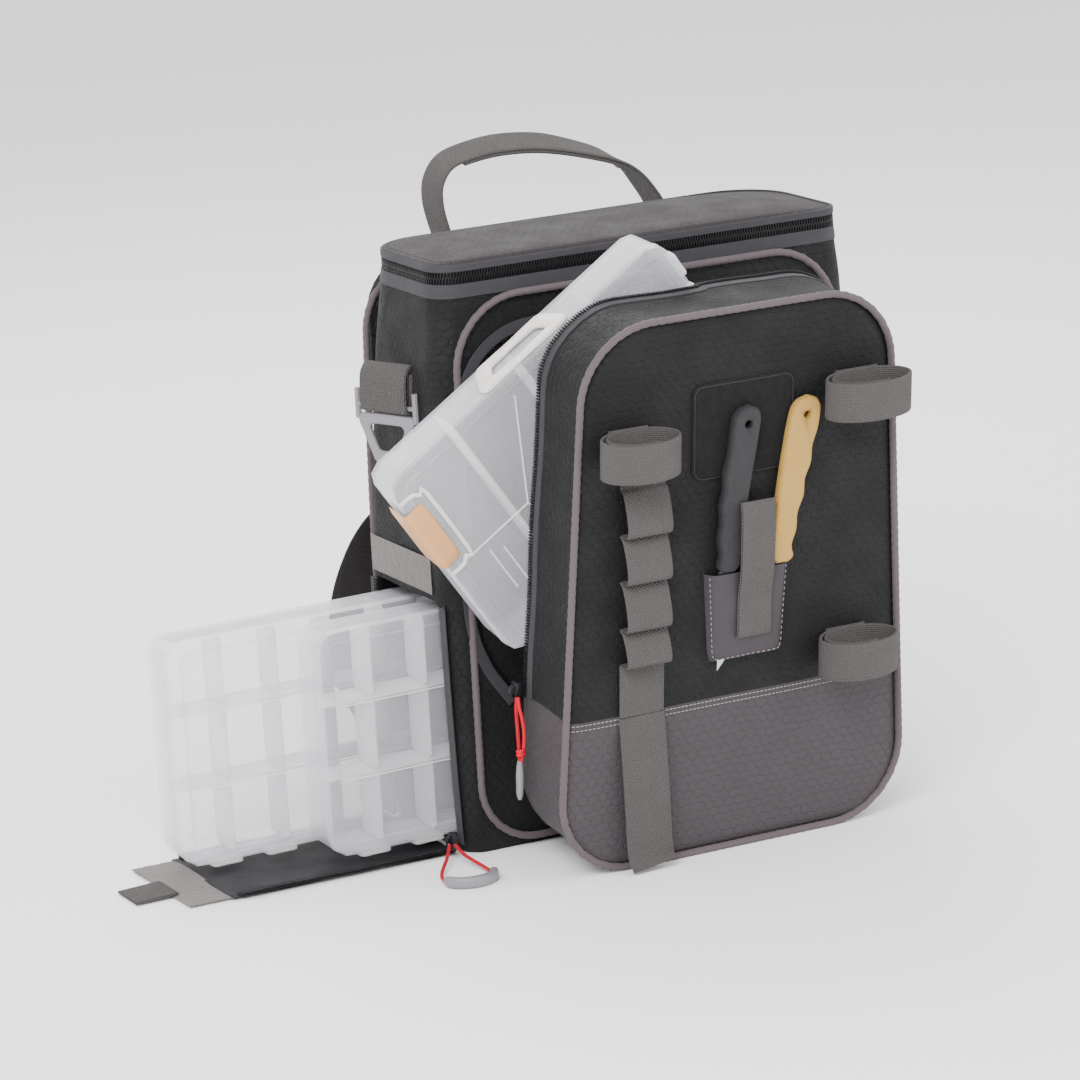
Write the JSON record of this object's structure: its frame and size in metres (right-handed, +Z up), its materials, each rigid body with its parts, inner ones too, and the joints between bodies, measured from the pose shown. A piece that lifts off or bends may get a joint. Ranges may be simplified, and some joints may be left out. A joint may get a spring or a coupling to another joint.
{
  "type": "tackle backpack",
  "caption": "Upright fishing backpack standing open: zipped lid, carry handle, tool pocket leaning forward and storage trays sliding out of a side bay.",
  "frame": {"origin": "centre of the main compartment's base, on the floor", "axes": "+X to the bag's right seen from the front, the front faces -Y, +Z up"},
  "size_m": [0.6406, 0.3762, 0.5133],
  "materials": {
    "black_ripstop": "black hexagon ripstop cloth",
    "grey_ripstop": "grey-mauve hexagon ripstop cloth",
    "lining": "dark smooth lining cloth",
    "mesh": "black padded mesh",
    "piping": "twisted pinkish grey cord piping",
    "zip_tape": "grey woven tape",
    "zip_chain": "black coil zip",
    "loop_tape": "fuzzy grey hook-and-loop tape",
    "black_loop": "black loop pile",
    "webbing": "grey woven webbing",
    "sheath": "grey coated cloth with light stitching",
    "grey_plastic": "satin grey moulded plastic",
    "slider_metal": "black enamelled metal",
    "red_cord": "braided red cord",
    "clear_plastic": "milky translucent polypropylene",
    "tan_plastic": "satin tan plastic",
    "knife_black": "textured black rubber",
    "knife_tan": "textured tan rubber",
    "steel": "satin steel"
  },
  "bodies": {
    "bag": {"base_panel": "black_ripstop", "back_panel": "black_ripstop", "back_pad": "mesh", "front_panel": "black_ripstop", "left_upper_panel": "black_ripstop", "opening_strips": "black_ripstop", "right_panel": "black_ripstop", "bay_shelf": "lining", "rim_tape": "zip_tape", "front_piping": "piping", "back_piping": "piping", "side_loop_patch": "loop_tape", "strap_anchors": "webbing", "shoulder_pads": "mesh", "lower_webbing": "webbing", "side_zip_halves": "zip_chain"},
    "left_buckle": {"left_buckle": "grey_plastic"},
    "right_buckle": {"right_buckle": "grey_plastic"},
    "lid": {"lid_cover": "grey_ripstop", "lid_zip_chain": "zip_chain"},
    "lid_slider": {"lid_slider": "slider_metal"},
    "handle": {"carry_handle": "webbing", "handle_grip": "webbing"},
    "door": {"side_door": "lining", "door_hook_strip": "loop_tape", "door_tab": "webbing"},
    "side_slider": {"side_slider": "slider_metal"},
    "side_pull": {"side_pull_cord": "red_cord", "side_pull_grip": "grey_plastic"},
    "rear_tray": {"rear_tray_base": "clear_plastic", "rear_tray_lid": "clear_plastic", "rear_tray_dividers": "clear_plastic", "rear_tray_latches": "clear_plastic"},
    "near_tray": {"near_tray_base": "clear_plastic", "near_tray_lid": "clear_plastic", "near_tray_dividers": "clear_plastic", "near_tray_latches": "clear_plastic"},
    "wedge_tray": {"wedge_tray_base": "clear_plastic", "wedge_tray_lid": "clear_plastic", "wedge_tray_dividers": "clear_plastic"},
    "wedge_latch": {"wedge_tray_latch": "tan_plastic"},
    "wedge_handle": {"wedge_tray_handle": "tan_plastic"},
    "pocket": {"pocket_upper_panel": "black_ripstop", "pocket_lower_panel": "grey_ripstop", "pocket_gusset": "grey_ripstop", "pocket_piping": "piping", "pocket_zip_half": "zip_chain", "daisy_webbing": "webbing", "rolled_straps": "webbing", "pocket_loop_patch": "black_loop", "tool_sheath": "sheath", "retainer_strap": "webbing"},
    "strap_end": {"strap_end": "webbing"},
    "pocket_slider": {"pocket_slider": "slider_metal"},
    "pocket_pull": {"pocket_pull_cord": "red_cord", "pocket_pull_tip": "grey_plastic"},
    "black_knife": {"black_knife_handle": "knife_black", "black_knife_blade": "steel"},
    "tan_knife": {"tan_knife_handle": "knife_tan", "tan_knife_blade": "steel"}
  },
  "joints": [
    {"name": "lid_hinge", "type": "hinge", "parent": "bag", "child": "lid", "pos_m": [0, 0.062, 0.452], "axis": [-1, 0, 0], "range_deg": [0, 85]},
    {"name": "lid_slider_slide", "type": "slide", "parent": "bag", "child": "lid_slider", "axis": [0, -1, 0], "range_m": [0, 0.07]},
    {"name": "handle_swing", "type": "hinge", "parent": "bag", "child": "handle", "pos_m": [0, 0.0715, 0.433], "axis": [-1, 0, 0], "range_deg": [-8, 17]},
    {"name": "left_buckle_swing", "type": "hinge", "parent": "bag", "child": "left_buckle", "pos_m": [-0.19521, -0.01404, 0.344], "axis": [-0.4067, 0.9135, 0], "range_deg": [0, 30]},
    {"name": "right_buckle_swing", "type": "hinge", "parent": "bag", "child": "right_buckle", "pos_m": [0.19521, -0.01404, 0.344], "axis": [-0.4067, -0.9135, 0], "range_deg": [0, 30]},
    {"name": "rear_tray_slide", "type": "slide", "parent": "bag", "child": "rear_tray", "axis": [0.9997, 0.0244, 0.0052], "range_m": [0, 0.207]},
    {"name": "near_tray_slide", "type": "slide", "parent": "bag", "child": "near_tray", "axis": [0.9997, 0.0244, 0.0052], "range_m": [0, 0.105]},
    {"name": "door_hinge", "type": "hinge", "parent": "bag", "child": "door", "pos_m": [-0.1807, 0, 0.0042], "axis": [0, 1, 0], "range_deg": [0, 90], "deforming": ["side_door", "door_hook_strip", "door_tab"]},
    {"name": "side_slider_slide", "type": "slide", "parent": "bag", "child": "side_slider", "axis": [0, 0, 1], "range_m": [0, 0.175]},
    {"name": "side_pull_swing", "type": "hinge", "parent": "side_slider", "child": "side_pull", "pos_m": [-0.19, -0.07, 0.012], "axis": [0.9648, -0.2631, 0], "range_deg": [0, 78]},
    {"name": "wedge_tray_slide", "type": "slide", "parent": "bag", "child": "wedge_tray", "axis": [-0.5793, -0.1036, 0.8085], "range_m": [0, 0.2]},
    {"name": "wedge_latch_swing", "type": "hinge", "parent": "wedge_tray", "child": "wedge_latch", "pos_m": [-0.22836, -0.10742, 0.27045], "axis": [0.5793, 0.1036, -0.8085], "range_deg": [0, 95]},
    {"name": "wedge_handle_swing", "type": "hinge", "parent": "wedge_tray", "child": "wedge_handle", "pos_m": [-0.14324, -0.14831, 0.39682], "axis": [0.8151, -0.0736, 0.5746], "range_deg": [0, 90]},
    {"name": "pocket_hinge", "type": "hinge", "parent": "bag", "child": "pocket", "pos_m": [-0.003, -0.172, 0.003], "axis": [1, 0, 0], "range_deg": [0, 10]},
    {"name": "strap_end_swing", "type": "hinge", "parent": "pocket", "child": "strap_end", "pos_m": [-0.085, -0.18657, 0.12313], "axis": [-1, 0, 0], "range_deg": [0, 60]},
    {"name": "pocket_slider_slide", "type": "slide", "parent": "pocket", "child": "pocket_slider", "axis": [0, -0.1097, 0.994], "range_m": [0, 0.022]},
    {"name": "pocket_pull_swing", "type": "hinge", "parent": "pocket_slider", "child": "pocket_pull", "pos_m": [-0.1571, -0.12729, 0.13571], "axis": [0, 0.994, 0.1097], "range_deg": [0, 60]},
    {"name": "black_knife_slide", "type": "slide", "parent": "pocket", "child": "black_knife", "axis": [0.0349, -0.1097, 0.9934], "range_m": [0, 0.062]},
    {"name": "tan_knife_slide", "type": "slide", "parent": "pocket", "child": "tan_knife", "axis": [0.0349, -0.1097, 0.9934], "range_m": [0, 0.06]}
  ],
  "couplings": [
    {"joint": "near_tray_slide", "follows": "rear_tray_slide", "ratio": 0.5072},
    {"joint": "door_hinge", "follows": "rear_tray_slide", "rad_per_m": 7.5876},
    {"joint": "side_slider_slide", "follows": "rear_tray_slide", "ratio": 0.84533},
    {"joint": "side_pull_swing", "follows": "rear_tray_slide", "rad_per_m": 6.5759}
  ]
}
